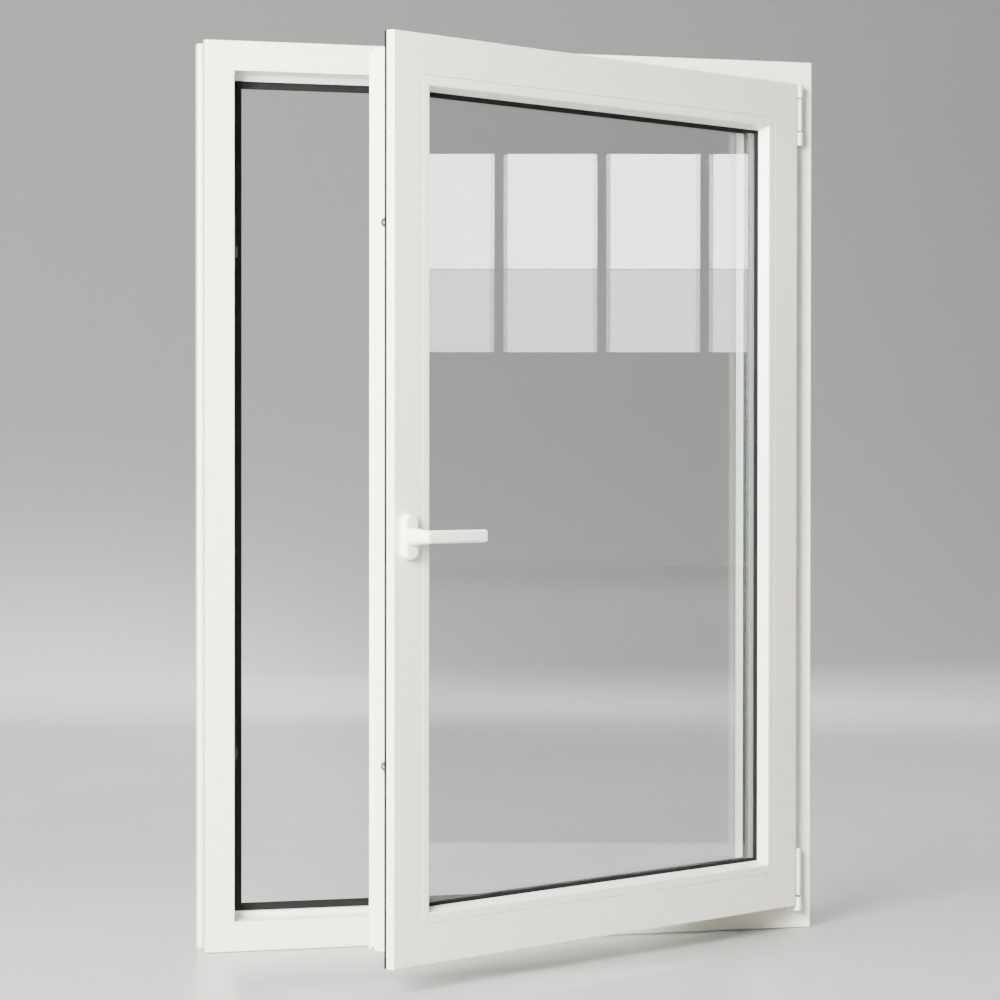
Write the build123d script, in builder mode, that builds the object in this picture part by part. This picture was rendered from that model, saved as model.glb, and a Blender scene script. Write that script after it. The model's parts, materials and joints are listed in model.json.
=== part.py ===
from build123d import *
import os
from math import pi

# Tilt-and-turn window of welded hollow plastic bars: a fixed frame and one inward-opening sash.
# Millimetres. X runs from the lock side to the hinge side, +Y points outdoors, +Z up.
# The origin is the middle of the frame's underside, half way through its depth.
# Every piece is drawn with the sash shut. The sash and what it carries are then swung open about
# the hinge pins before they are written, because the window is stored standing ajar.

# ---------------------------------------------------------------- driving dimensions
WIDTH = 1000.0          # frame, outside
HEIGHT = 1400.0
DEPTH = 70.0            # frame and sash bars, each, through the wall
WALL = 2.8              # plastic wall
AJAR = 30.0             # degrees that the sash stands open

# Frame bar. "In" is measured from the frame's outer edge, "deep" from its room-side face.
FRAME_FACE = 46.0       # width of the room-side face
STOP_RISE = 20.0        # outer stop above the rebate floor
STOP_THICK = 16.0
LIP_DEEP = 15.0         # front edge of the recess along the frame's outer side
FOOT_DEEP = 13.0
SIDE_RECESS = 5.0       # depth of that recess

# Sash bar. "In" is measured from the sash's outer edge, "deep" from its room-side face.
OVERLAP = 8.0           # sash lip over the frame's face
STANDOFF = 20.0         # sash face in front of the frame's face
LIP_THICK = 14.0        # sash lip
AIR = 12.0              # rebate air between sash and frame
JOINT_LINE = 58.0       # outer edge of the glazing beads
BEAD_TALL = 21.5        # from there to the beads' inner edge
GLASS_DEEP = 22.0       # room-side surface of the glass
PANE = 4.0
CAVITY = 16.0
GLASS_CLEAR = 5.0       # glass edge above the glazing rebate
OUTER_SEAL = 3.5        # outdoor glazing gasket
SPACER_WIDE = 6.5
SEAL_WIDE = 3.2         # sealant behind the spacer
LAP_SEAL = 5.3          # gasket behind the sash lip

# Hardware groove round the sash
GROOVE_DEEP = 15.0      # groove's middle behind the back of the lip
GROOVE_WIDE = 16.4
GROOVE_STEP = 3.0
CHANNEL_WIDE = 12.4
CHANNEL_DEEP = 6.0
FACEPLATE = 1.8
ROD_THICK = 3.0
ROD_WIDE = 10.0

# Hinge side
AXIS_OUT = 8.3          # hinge axis outside the sash's edge
AXIS_DEEP = 4.9         # hinge axis behind the sash's face
PIN_R = 3.0
KNUCKLE_R = 5.2
SLEEVE_R = 6.6          # plastic sleeves on the sash's barrels
CAP_R = 7.7             # plastic caps on the frame's knuckles
TILT_DROP = 4.0         # ball that the sash tilts about, below the sill's rebate floor
PLATE = 3.0
STAY_DROP = (15.5, 67.0)    # ends of the stay's barrel below the head's rebate floor
STAY_REACH = 400.0      # hinge axis to the stay's stud

# Handle and drive
HANDLE_Z = 648.5
BACKSET = 7.5           # spindle from the sash's rebate face
SPINDLE = 7.0
ROSETTE_TALL = 65.5
ROSETTE_WIDE = 27.0
ROSETTE_THICK = 11.0
GRIP_TALL = 18.6
GRIP_THICK = 13.0
HANDLE_PROUD = 50.0     # grip's face in front of the sash's face
LEVER = 115.5           # spindle to the grip's end
NECK_R = 13.0
HANDLE_SCREWS = 43.0    # between the two screws
BASE_THICK = 3.5        # plate under the rosette
COVER_WALL = 1.8        # rosette, a cover that snaps over that plate
SCREW_CAP = 2.6         # heads of the handle's screws
TRAVEL = 16.0           # drive rod, for a quarter turn of the handle
CAM_ENDS = (323.0, 307.0)   # lowest cam above the frame's underside, highest below its top
TOP_CAM_X = -150.0
CAM_R = 6.5
CAM_PROUD = 10.0        # locking cam above the sash's rebate face

# Fixing holes through the jambs
FIXING_R = 3.75
FIXING_END = 150.0      # first hole from the frame's end
FIXING_MIDDLE = 360.0   # between the two holes nearest the middle

# Screws
SCREW_R = 1.9
PILOT_R = 1.95
SCREW_HEAD_R = 3.6
SCREW_LONG = 22.0

# Clearances
GAP = 0.3               # between pieces that move past each other
RUN = 0.05              # radial, pin in bore
SNUG = 0.2              # between pieces of one body

# ---------------------------------------------------------------- derived places
FACE_Y = -DEPTH / 2
MARGIN = FRAME_FACE - OVERLAP
SASH_W = WIDTH - 2 * MARGIN
SASH_H = HEIGHT - 2 * MARGIN
SASH_Y = FACE_Y - STANDOFF
SASH_LEFT = -SASH_W / 2
SASH_RIGHT = SASH_W / 2
SASH_TOP = MARGIN + SASH_H
STEP = OVERLAP + AIR
SIGHT_LINE = JOINT_LINE + BEAD_TALL
UPSTAND = GLASS_DEEP + 2 * PANE + CAVITY + OUTER_SEAL
CAM_HEIGHTS = (CAM_ENDS[0], HEIGHT - CAM_ENDS[1])
GROOVE = LIP_THICK + GROOVE_DEEP
GROOVE_Y = SASH_Y + GROOVE
LIP_BACK_Y = SASH_Y + LIP_THICK
REBATE_X = WIDTH / 2 - FRAME_FACE
SASH_REBATE_X = SASH_RIGHT - STEP
AXIS_X = SASH_RIGHT + AXIS_OUT
AXIS_Y = SASH_Y + AXIS_DEEP
HANDLE_X = SASH_LEFT + STEP + BACKSET
ROD_IN = STEP + GROOVE_STEP + 2.0
GLASS_IN = JOINT_LINE + GLASS_CLEAR
FRAME_RECT = (WIDTH, HEIGHT, 0.0, FACE_Y)
SASH_RECT = (SASH_W, SASH_H, MARGIN, SASH_Y)
SIDES = ("bottom", "top", "lock", "hinge")
UP = (0, 0, 1)
OUTDOORS = (0, 1, 0)
INDOORS = (0, -1, 0)
BASE = (Align.CENTER, Align.CENTER, Align.MIN)

SHUT = Location((0, 0, 0))
OPENED = Location((AXIS_X, AXIS_Y, 0)) * Location((0, 0, 0), (0, 0, AJAR)) * Location((-AXIS_X, -AXIS_Y, 0))

# ---------------------------------------------------------------- derived places of the hardware
STAY_Z = (HEIGHT - FRAME_FACE - STAY_DROP[1], HEIGHT - FRAME_FACE - STAY_DROP[0])
BEARING_TOP = HEIGHT - FRAME_FACE - 1.0
TOP_KNUCKLE = (STAY_Z[1] + 2.0, STAY_Z[1] + 20.5)
LOW_KNUCKLE = (STAY_Z[0] - 21.5, STAY_Z[0] - 2.0)
ARM_PLATE_X = REBATE_X - 8.5                    # sash-side face of the stay's riser
GAP_FRAME = (FACE_Y - 3.6, FACE_Y - 0.6)        # frame's plates in the gap behind the sash lip
GAP_SASH = (FACE_Y - 4.2, FACE_Y - 1.4)         # sash's plates in the same gap
LEG = 4.3
TILT_HEIGHT = FRAME_FACE - TILT_DROP
POT = (TILT_HEIGHT - 10.0, TILT_HEIGHT + 10.0)
POT_R = 6.2
BUSH_R = 5.0
TILT_PIN_R = 1.2
TILT_PIN_HALF = 4.7
FOOT_PLATE = FRAME_FACE + PLATE
BARREL = (POT[1] + 4.0, POT[1] + 76.0)
HINGE_PLATE_IN = 2.6
BEARING_SCREWS = [(REBATE_X, FACE_Y + 14.0, LOW_KNUCKLE[0] + rise) for rise in (26.0, 50.0)]
FOOT_SCREWS = [(REBATE_X - reach, FACE_Y + 13.5, FRAME_FACE) for reach in (22.0, 44.0)]
HINGE_SCREWS = [(SASH_REBATE_X, FACE_Y + 12.0, BARREL[0] + rise) for rise in (16.0, 54.0)]

STRIKER_WALL = 2.4
STRIKER_TALL = 4.2
STRIKER_BASE = 1.0
HALF_CHANNEL = CAM_R + 0.6
HOOK_START = CAM_R + 2.0
# Local x is the way a cam slides to lock, y points outdoors, z stands up from the frame's rebate floor.
striker_places = [
    Plane(origin=(-REBATE_X, GROOVE_Y, height), x_dir=(0, 0, -1), z_dir=(1, 0, 0)) for height in CAM_HEIGHTS
]
striker_places.append(
    Plane(origin=(TOP_CAM_X, GROOVE_Y, HEIGHT - FRAME_FACE), x_dir=(-1, 0, 0), z_dir=(0, 0, -1))
)
HOOK_END = TRAVEL + HALF_CHANNEL + STRIKER_WALL
SCREW_SPOTS = (-TRAVEL - CAM_R - 11.0, HOOK_END + 8.0)

STUD_X = AXIS_X - STAY_REACH
PLATE_WIDE = GROOVE_WIDE - 0.4
PLATE_Y = (GROOVE_Y - PLATE_WIDE / 2, GROOVE_Y + PLATE_WIDE / 2)
PLATE_X = (SASH_LEFT + STEP, SASH_LEFT + STEP + FACEPLATE)
PLATE_TOP_Z = (SASH_TOP - STEP - FACEPLATE, SASH_TOP - STEP)
PLATE_LOW_Z = (MARGIN + STEP, MARGIN + STEP + FACEPLATE)
CORNER_LEG = 110.0
STEM_R = 4.2
SLOT_WIDE = 2 * STEM_R + 1.0
SLOT_LONG = 2 * TRAVEL + SLOT_WIDE + 2.0
GUIDE_END = SASH_REBATE_X - 12.0
SCREW_IN = 10.0
lock_plate_z = (PLATE_LOW_Z[0] + CORNER_LEG + 0.5, PLATE_TOP_Z[1] - CORNER_LEG - 0.5)
guide_x = (PLATE_X[0] + CORNER_LEG + 0.5, GUIDE_END)
lock_screw_spots = (lock_plate_z[0] + SCREW_IN, lock_plate_z[1] - SCREW_IN)
guide_screw_spots = (guide_x[1] - SCREW_IN, STUD_X - 60.0)

os.makedirs("parts", exist_ok=True)


# ---------------------------------------------------------------- helpers
def finish(piece, label, place=SHUT):
    """Name a piece, put it in its stored place and write it."""
    piece.part.move(place)
    piece.part.label = label
    export_step(piece.part, f"parts/{label}.step")


def block(x, y, z, mode=Mode.ADD):
    """A box between two x, two y and two z values."""
    with Locations(((x[0] + x[1]) / 2, (y[0] + y[1]) / 2, (z[0] + z[1]) / 2)):
        Box(abs(x[1] - x[0]), abs(y[1] - y[0]), abs(z[1] - z[0]), mode=mode)


def post(start, direction, radius, length, mode=Mode.ADD):
    """A cylinder that stands on a point."""
    with Locations(Plane(origin=start, z_dir=direction)):
        Cylinder(radius, length, align=BASE, mode=mode)


def pilot(start, direction, length=SCREW_LONG):
    """A screw's hole in a bar and in the steel inside it."""
    post(start, direction, PILOT_R, length, Mode.SUBTRACT)


def drive(seat, inward):
    """The cross that a screwdriver fits, in a screw's head."""
    place = Plane(origin=seat, z_dir=inward)
    with BuildSketch(place) as cross:
        Rectangle(3.6, 0.9)
        Rectangle(0.9, 3.6)
    extrude(cross.sketch, amount=1.1, mode=Mode.SUBTRACT)


def countersink(start, direction):
    """A hole through a plate with a cone for the screw's head, seen from the head's side."""
    post(start, direction, 2.0, PLATE, Mode.SUBTRACT)
    with Locations(Plane(origin=start, z_dir=direction)):
        Cone(4.0, 2.0, 2.0, align=BASE, mode=Mode.SUBTRACT)


def sunk_screw(start, direction):
    """A countersunk screw, its head a little below the plate."""
    place = Plane(origin=start, z_dir=direction).offset(0.3)
    post(place.origin, direction, SCREW_R, SCREW_LONG + PLATE - 0.6)
    with Locations(place):
        Cone(SCREW_HEAD_R, SCREW_R, 1.7, align=BASE)
    drive(place.origin, direction)


def pan_screw(start, direction, head, length):
    """A screw with a flat head that stands on a surface."""
    outward = -Vector(*direction)
    post(start, direction, SCREW_R, length)
    post(start, outward, SCREW_HEAD_R, head)
    drive(Vector(*start) + outward * head, direction)


def window(deep, inward):
    """Cut a rectangle out of the section being drawn."""
    with Locations(((deep[0] + deep[1]) / 2, (inward[0] + inward[1]) / 2)):
        Rectangle(deep[1] - deep[0], inward[1] - inward[0], mode=Mode.SUBTRACT)


def edge_of(side, rect):
    """Start corner, direction, inward direction and length of one side of a rectangular ring."""
    width, height, base, face = rect
    left, right, top = -width / 2, width / 2, base + height
    edges = {
        "bottom": (Vector(left, face, base), Vector(1, 0, 0), Vector(0, 0, 1), width),
        "top": (Vector(right, face, top), Vector(-1, 0, 0), Vector(0, 0, -1), width),
        "lock": (Vector(left, face, top), Vector(0, 0, -1), Vector(1, 0, 0), height),
        "hinge": (Vector(right, face, base), Vector(0, 0, 1), Vector(-1, 0, 0), height),
    }
    return edges[side]


def mitred_bar(section, side, rect):
    """One bar of a ring, cut at 45 degrees at both ends."""
    start, along, inward, length = edge_of(side, rect)
    with BuildPart() as bar:
        with BuildSketch(Plane(origin=start, x_dir=OUTDOORS, z_dir=along)):
            add(section)
        extrude(amount=length)
        split(bisect_by=Plane(origin=start, z_dir=along - inward), keep=Keep.TOP)
        split(bisect_by=Plane(origin=start + along * length, z_dir=-along - inward), keep=Keep.TOP)
    return bar


def square_bar(section, side, rect, short):
    """One bar of a ring, cut square and shorter at both ends."""
    start, along, inward, length = edge_of(side, rect)
    with BuildPart() as bar:
        with BuildSketch(Plane(origin=start + along * short, x_dir=OUTDOORS, z_dir=along)):
            add(section)
        extrude(amount=length - 2 * short)
    return bar


def tube_section(deep, inward, wall):
    """Section of a rectangular tube."""
    with BuildSketch() as section:
        with Locations(((deep[0] + deep[1]) / 2, (inward[0] + inward[1]) / 2)):
            Rectangle(deep[1] - deep[0], inward[1] - inward[0])
            Rectangle(deep[1] - deep[0] - 2 * wall, inward[1] - inward[0] - 2 * wall, mode=Mode.SUBTRACT)
    return section.sketch


# ---------------------------------------------------------------- sections
FRAME_TALL = FRAME_FACE + STOP_RISE
STOP_DEEP = DEPTH - STOP_THICK
FRAME_STEEL = ((LIP_DEEP, STOP_DEEP - 9.0), (SIDE_RECESS + WALL, FRAME_FACE - WALL))
STOP_SEAL_IN = (FRAME_FACE + 10.4, FRAME_TALL + 2.2)

with BuildSketch() as frame_section:
    with BuildLine():
        Polyline(
            (0, 0),
            (0, FRAME_FACE),
            (STOP_DEEP, FRAME_FACE),
            (STOP_DEEP, FRAME_TALL),
            (DEPTH, FRAME_TALL - 1.5),
            (DEPTH, 0),
            (DEPTH - FOOT_DEEP, 0),
            (DEPTH - FOOT_DEEP, SIDE_RECESS),
            (LIP_DEEP, SIDE_RECESS),
            (LIP_DEEP, 0),
            close=True,
        )
    make_face()
    fillet(frame_section.vertices().group_by(Axis.X)[0], 2.0)
    fillet(frame_section.vertices().group_by(Axis.X)[-1].sort_by(Axis.Y)[-1], 1.5)
    window((WALL, LIP_DEEP - WALL), (WALL, FRAME_FACE - WALL))
    window(*FRAME_STEEL)
    window((STOP_DEEP - 6.2, DEPTH - WALL), (SIDE_RECESS + WALL, FRAME_FACE - WALL))
    window((STOP_DEEP + 6.0, DEPTH - WALL), (FRAME_FACE, FRAME_TALL - WALL - 1.5))
    window((STOP_DEEP, STOP_DEEP + 3.2), (FRAME_FACE + 13.5, FRAME_FACE + 16.5))

with BuildSketch() as stop_seal_section:
    with BuildLine():
        Polyline(
            (STOP_DEEP, STOP_SEAL_IN[0]),
            (STOP_DEEP - OUTER_SEAL + 0.6, STOP_SEAL_IN[0]),
            (STOP_DEEP - OUTER_SEAL, STOP_SEAL_IN[0] + 0.6),
            (STOP_DEEP - OUTER_SEAL, STOP_SEAL_IN[1] - 0.6),
            (STOP_DEEP - OUTER_SEAL + 0.6, STOP_SEAL_IN[1]),
            (STOP_DEEP, STOP_SEAL_IN[1]),
            (STOP_DEEP, FRAME_FACE + 16.2),
            (STOP_DEEP + 2.9, FRAME_FACE + 16.2),
            (STOP_DEEP + 2.9, FRAME_FACE + 13.8),
            (STOP_DEEP, FRAME_FACE + 13.8),
            close=True,
        )
    make_face()

frame_steel_section = tube_section(
    (FRAME_STEEL[0][0] + 0.4, FRAME_STEEL[0][1] - 0.4), (FRAME_STEEL[1][0] + 0.4, FRAME_STEEL[1][1] - 0.4), 1.5
)

SASH_STEEL = ((LIP_THICK + WALL, UPSTAND - 4.0), (STEP + GROOVE_STEP + CHANNEL_DEEP + WALL, JOINT_LINE - WALL))
BEAD_GROOVE = (7.0, 10.4)
BEAD_GRIP = 4.0
LAP_GROOVE_IN = (2.0, 4.0)
OUT_GROOVE_IN = (SIGHT_LINE - 5.5, SIGHT_LINE - 3.0)

with BuildSketch() as sash_section:
    with BuildLine():
        Polyline(
            (0, 0),
            (0, JOINT_LINE - 0.6),
            (0.6, JOINT_LINE),
            (UPSTAND, JOINT_LINE),
            (UPSTAND, SIGHT_LINE + 0.5),
            (DEPTH, SIGHT_LINE - 5.0),
            (DEPTH, STEP + 1.3),
            (DEPTH - 2.0, STEP + 1.3),
            (DEPTH - 4.0, STEP + 4.0),
            (DEPTH - 9.0, STEP + 4.0),
            (DEPTH - 12.0, STEP),
            (LIP_THICK, STEP),
            (LIP_THICK, 0),
            close=True,
        )
    make_face()
    fillet(sash_section.vertices().group_by(Axis.X)[0].sort_by(Axis.Y)[0], 2.0)
    fillet(sash_section.vertices().group_by(Axis.X)[0].sort_by(Axis.Y)[-1], 0.6)
    fillet(sash_section.vertices().sort_by(Axis.Y)[-1], 1.0)
    window((WALL, LIP_THICK - 2.5 - WALL), (WALL, JOINT_LINE - BEAD_GRIP - WALL))
    window(*SASH_STEEL)
    window((SASH_STEEL[0][1] + WALL, DEPTH - WALL), (STEP + 4.0 + WALL, JOINT_LINE - WALL))
    window((UPSTAND + WALL, DEPTH - WALL), (JOINT_LINE, OUT_GROOVE_IN[0] - WALL))
    window((GROOVE - GROOVE_WIDE / 2, GROOVE + GROOVE_WIDE / 2), (STEP, STEP + GROOVE_STEP))
    window((GROOVE - CHANNEL_WIDE / 2, GROOVE + CHANNEL_WIDE / 2), (STEP, STEP + GROOVE_STEP + CHANNEL_DEEP))
    window(BEAD_GROOVE, (JOINT_LINE - BEAD_GRIP, JOINT_LINE))
    window((LIP_THICK - 2.5, LIP_THICK), LAP_GROOVE_IN)
    window((UPSTAND, UPSTAND + 2.8), OUT_GROOVE_IN)

sash_steel_section = tube_section(
    (SASH_STEEL[0][0] + 0.4, SASH_STEEL[0][1] - 0.4), (SASH_STEEL[1][0] + 0.4, SASH_STEEL[1][1] - 0.4), 1.5
)

with BuildSketch() as lap_seal_section:
    with BuildLine():
        Polyline(
            (LIP_THICK, 0.1),
            (LIP_THICK + LAP_SEAL - 0.6, 0.1),
            (LIP_THICK + LAP_SEAL, 0.7),
            (LIP_THICK + LAP_SEAL, 3.6),
            (LIP_THICK + LAP_SEAL - 0.8, 4.8),
            (LIP_THICK, 4.8),
            (LIP_THICK, LAP_GROOVE_IN[1] - 0.1),
            (LIP_THICK - 2.4, LAP_GROOVE_IN[1] - 0.1),
            (LIP_THICK - 2.4, LAP_GROOVE_IN[0] + 0.1),
            (LIP_THICK, LAP_GROOVE_IN[0] + 0.1),
            close=True,
        )
    make_face()

BEAD_BACK = GLASS_DEEP - 4.4
BEAD_TOP = SIGHT_LINE - 7.0

with BuildSketch() as bead_section:
    with BuildLine():
        Polyline(
            (0, JOINT_LINE + SNUG + 1.0),
            (0, BEAD_TOP),
            (BEAD_BACK - 0.5, SIGHT_LINE),
            (BEAD_BACK, SIGHT_LINE - 0.5),
            (BEAD_BACK, JOINT_LINE + 4.5),
            (BEAD_BACK - 4.0, JOINT_LINE + SNUG),
            (BEAD_GROOVE[1] - SNUG, JOINT_LINE + SNUG),
            (BEAD_GROOVE[1] - SNUG, JOINT_LINE - BEAD_GRIP + SNUG),
            (BEAD_GROOVE[0] + SNUG, JOINT_LINE - BEAD_GRIP + SNUG),
            (BEAD_GROOVE[0] + SNUG, JOINT_LINE + SNUG),
            (1.0, JOINT_LINE + SNUG),
            close=True,
        )
    make_face()
    fillet(bead_section.vertices().group_by(Axis.X)[0].sort_by(Axis.Y)[-1], 2.5)
    window((3.0, BEAD_BACK - 2.2), (JOINT_LINE + 6.5, BEAD_TOP - 2.0))

with BuildSketch() as bead_seal_section:
    with BuildLine():
        Polyline(
            (BEAD_BACK, SIGHT_LINE - 9.0),
            (GLASS_DEEP, SIGHT_LINE - 9.0),
            (GLASS_DEEP, SIGHT_LINE + 4.6),
            (GLASS_DEEP - 0.8, SIGHT_LINE + 4.6),
            (BEAD_BACK - 0.45, SIGHT_LINE + 0.5),
            (BEAD_BACK - 0.45, SIGHT_LINE),
            (BEAD_BACK, SIGHT_LINE - 0.45),
            close=True,
        )
    make_face()

with BuildSketch() as outer_seal_section:
    with BuildLine():
        Polyline(
            (UPSTAND - OUTER_SEAL, SIGHT_LINE - 10.0),
            (UPSTAND, SIGHT_LINE - 10.0),
            (UPSTAND, OUT_GROOVE_IN[0] + 0.15),
            (UPSTAND + 2.6, OUT_GROOVE_IN[0] + 0.15),
            (UPSTAND + 2.6, OUT_GROOVE_IN[1] - 0.15),
            (UPSTAND, OUT_GROOVE_IN[1] - 0.15),
            (UPSTAND, SIGHT_LINE + 0.8),
            (UPSTAND - 1.0, SIGHT_LINE + 3.5),
            (UPSTAND - OUTER_SEAL, SIGHT_LINE + 3.5),
            close=True,
        )
    make_face()

SPACER_IN = (GLASS_IN + SEAL_WIDE + 0.4, GLASS_IN + SEAL_WIDE + 0.4 + SPACER_WIDE)
CAVITY_DEEP = (GLASS_DEEP + PANE, GLASS_DEEP + PANE + CAVITY)
spacer_section = tube_section(CAVITY_DEEP, SPACER_IN, 0.6)

with BuildSketch() as edge_seal_section:
    with Locations(((CAVITY_DEEP[0] + CAVITY_DEEP[1]) / 2, GLASS_IN + 0.4 + SEAL_WIDE / 2)):
        Rectangle(CAVITY, SEAL_WIDE)


# ---------------------------------------------------------------- frame bars
frame_bars = {side: mitred_bar(frame_section.sketch, side, FRAME_RECT) for side in SIDES}
FIXING_ROWS = (
    FIXING_END,
    (HEIGHT - FIXING_MIDDLE) / 2,
    (HEIGHT + FIXING_MIDDLE) / 2,
    HEIGHT - FIXING_END,
)


def drill_jamb(side):
    """Take the fixing holes out of a jamb, or out of the steel inside it."""
    across = -1 if side == "lock" else 1
    for height in FIXING_ROWS:
        post((across * WIDTH / 2, 0, height), (-across, 0, 0), FIXING_R, FRAME_FACE + 1, Mode.SUBTRACT)


STRIKER_SCREWS = [
    (place.from_local_coords(Vector(spot, 0.5, 0)), -place.z_dir) for place in striker_places for spot in SCREW_SPOTS
]

with BuildPart() as frame_lock_jamb:
    add(frame_bars["lock"].part)
    drill_jamb("lock")
    for foot, inward in STRIKER_SCREWS[:4]:
        pilot(foot, inward, WALL)

with BuildPart() as frame_head:
    add(frame_bars["top"].part)
    for foot, inward in STRIKER_SCREWS[4:]:
        pilot(foot, inward, WALL)

with BuildPart() as frame_hinge_jamb:
    add(frame_bars["hinge"].part)
    drill_jamb("hinge")
    for spot in BEARING_SCREWS:
        pilot(spot, (1, 0, 0))

with BuildPart() as frame_sill:
    add(frame_bars["bottom"].part)
    for spot in FOOT_SCREWS:
        pilot(spot, (0, 0, -1))
    # drain slots through the stop's outdoor wall
    for across in (-WIDTH / 4, WIDTH / 4):
        block((across - 14, across + 14), (FACE_Y + DEPTH - 4, FACE_Y + DEPTH + 1), (25, 30), Mode.SUBTRACT)

steel_bars = [square_bar(frame_steel_section, side, FRAME_RECT, FRAME_FACE + 6.0).part for side in SIDES]
with BuildPart() as frame_steels:
    add(steel_bars)
    drill_jamb("lock")
    drill_jamb("hinge")
    for spot in BEARING_SCREWS:
        pilot(spot, (1, 0, 0))

stop_seal_bars = [mitred_bar(stop_seal_section.sketch, side, FRAME_RECT).part for side in SIDES]
with BuildPart() as frame_gasket:
    add(stop_seal_bars)

with BuildPart() as drain_covers:
    for across in (-WIDTH / 4, WIDTH / 4):
        outside = FACE_Y + DEPTH
        block((across - 24, across + 24), (outside, outside + 4.5), (22, 36))
        block((across - 17, across + 17), (outside, outside + 3.0), (21, 33), Mode.SUBTRACT)
    fillet(drain_covers.edges().filter_by(Axis.X).group_by(Axis.Y)[-1].group_by(Axis.Z)[-1], 1.5)

finish(frame_head, "frame_head")
finish(frame_sill, "frame_sill")
finish(frame_lock_jamb, "frame_lock_jamb")
finish(frame_hinge_jamb, "frame_hinge_jamb")
finish(frame_steels, "frame_steels")
finish(frame_gasket, "frame_gasket")
finish(drain_covers, "drain_covers")

# ---------------------------------------------------------------- strikers
with BuildSketch() as striker_base:
    with Locations(((SCREW_SPOTS[0] + SCREW_SPOTS[1]) / 2, 0.5)):
        RectangleRounded(SCREW_SPOTS[1] - SCREW_SPOTS[0] + 13.0, 2 * HALF_CHANNEL + 2 * STRIKER_WALL, 3.0)
    with Locations((SCREW_SPOTS[0], 0.5), (SCREW_SPOTS[1], 0.5)):
        Circle(2.0, mode=Mode.SUBTRACT)

with BuildSketch() as striker_hook:
    with BuildLine():
        Polyline(
            (-HOOK_START, HALF_CHANNEL),
            (-HOOK_START, HALF_CHANNEL + STRIKER_WALL),
            (HOOK_END, HALF_CHANNEL + STRIKER_WALL),
            (HOOK_END, -HALF_CHANNEL - STRIKER_WALL + 1.0),
            (HOOK_START + 2.0, -HALF_CHANNEL - STRIKER_WALL + 1.0),
            (HOOK_START, -HALF_CHANNEL),
            (HOOK_END - STRIKER_WALL, -HALF_CHANNEL),
            (HOOK_END - STRIKER_WALL, HALF_CHANNEL),
            close=True,
        )
    make_face()

with BuildPart() as strikers:
    for place in striker_places:
        with BuildSketch(place):
            add(striker_base.sketch)
        extrude(amount=STRIKER_BASE)
        with BuildSketch(place.offset(STRIKER_BASE)):
            add(striker_hook.sketch)
        extrude(amount=STRIKER_TALL - STRIKER_BASE)

with BuildPart() as striker_screws:
    for foot, inward in STRIKER_SCREWS:
        head = foot - inward * STRIKER_BASE
        post(head, -inward, SCREW_HEAD_R, 1.5)
        post(head, inward, SCREW_R, WALL + STRIKER_BASE - 0.3)
        drive(head - inward * 1.5, inward)

finish(strikers, "strikers")
finish(striker_screws, "striker_screws")

# ---------------------------------------------------------------- upper hinge, frame side
with BuildPart() as stay_bearing:
    for low, high in (LOW_KNUCKLE, (TOP_KNUCKLE[0], BEARING_TOP)):
        block((AXIS_X - LEG, AXIS_X + LEG), (AXIS_Y, GAP_FRAME[1]), (low, high))
        block((REBATE_X - PLATE, AXIS_X + LEG), GAP_FRAME, (low, high))
        block((REBATE_X - PLATE, REBATE_X), (GAP_FRAME[0], FACE_Y + 24.0), (low, high))
    block((REBATE_X - PLATE, REBATE_X), (FACE_Y + 0.6, FACE_Y + 24.0), (LOW_KNUCKLE[0], BEARING_TOP))
    for low, high in (LOW_KNUCKLE, TOP_KNUCKLE):
        post((AXIS_X, AXIS_Y, low), UP, KNUCKLE_R + 0.4, high - low)
        post((AXIS_X, AXIS_Y, low), UP, PIN_R, high - low, Mode.SUBTRACT)
    for across, deep, height in BEARING_SCREWS:
        countersink((across - PLATE, deep, height), (1, 0, 0))

with BuildPart() as stay_pin:
    post((AXIS_X, AXIS_Y, LOW_KNUCKLE[0]), UP, PIN_R, TOP_KNUCKLE[1] - LOW_KNUCKLE[0])

with BuildPart() as stay_bearing_caps:
    for low, high, closed in ((LOW_KNUCKLE[0], LOW_KNUCKLE[1], -1), (TOP_KNUCKLE[0], TOP_KNUCKLE[1], 1)):
        bottom = low - (1.8 if closed < 0 else 0)
        top = high + (1.8 if closed > 0 else 0)
        post((AXIS_X, AXIS_Y, bottom), UP, CAP_R, top - bottom)
    fillet(stay_bearing_caps.edges().filter_by(GeomType.CIRCLE).group_by(Axis.Z)[-1], 1.2)
    fillet(stay_bearing_caps.edges().filter_by(GeomType.CIRCLE).group_by(Axis.Z)[0], 1.2)
    for low, high in (LOW_KNUCKLE, TOP_KNUCKLE):
        post((AXIS_X, AXIS_Y, low), UP, KNUCKLE_R + 0.4 + SNUG, high - low, Mode.SUBTRACT)
        block((AXIS_X - LEG - SNUG, AXIS_X + LEG + SNUG), (AXIS_Y, AXIS_Y + CAP_R), (low, high), Mode.SUBTRACT)

with BuildPart() as bearing_screws:
    for across, deep, height in BEARING_SCREWS:
        sunk_screw((across - PLATE, deep, height), (1, 0, 0))

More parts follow.
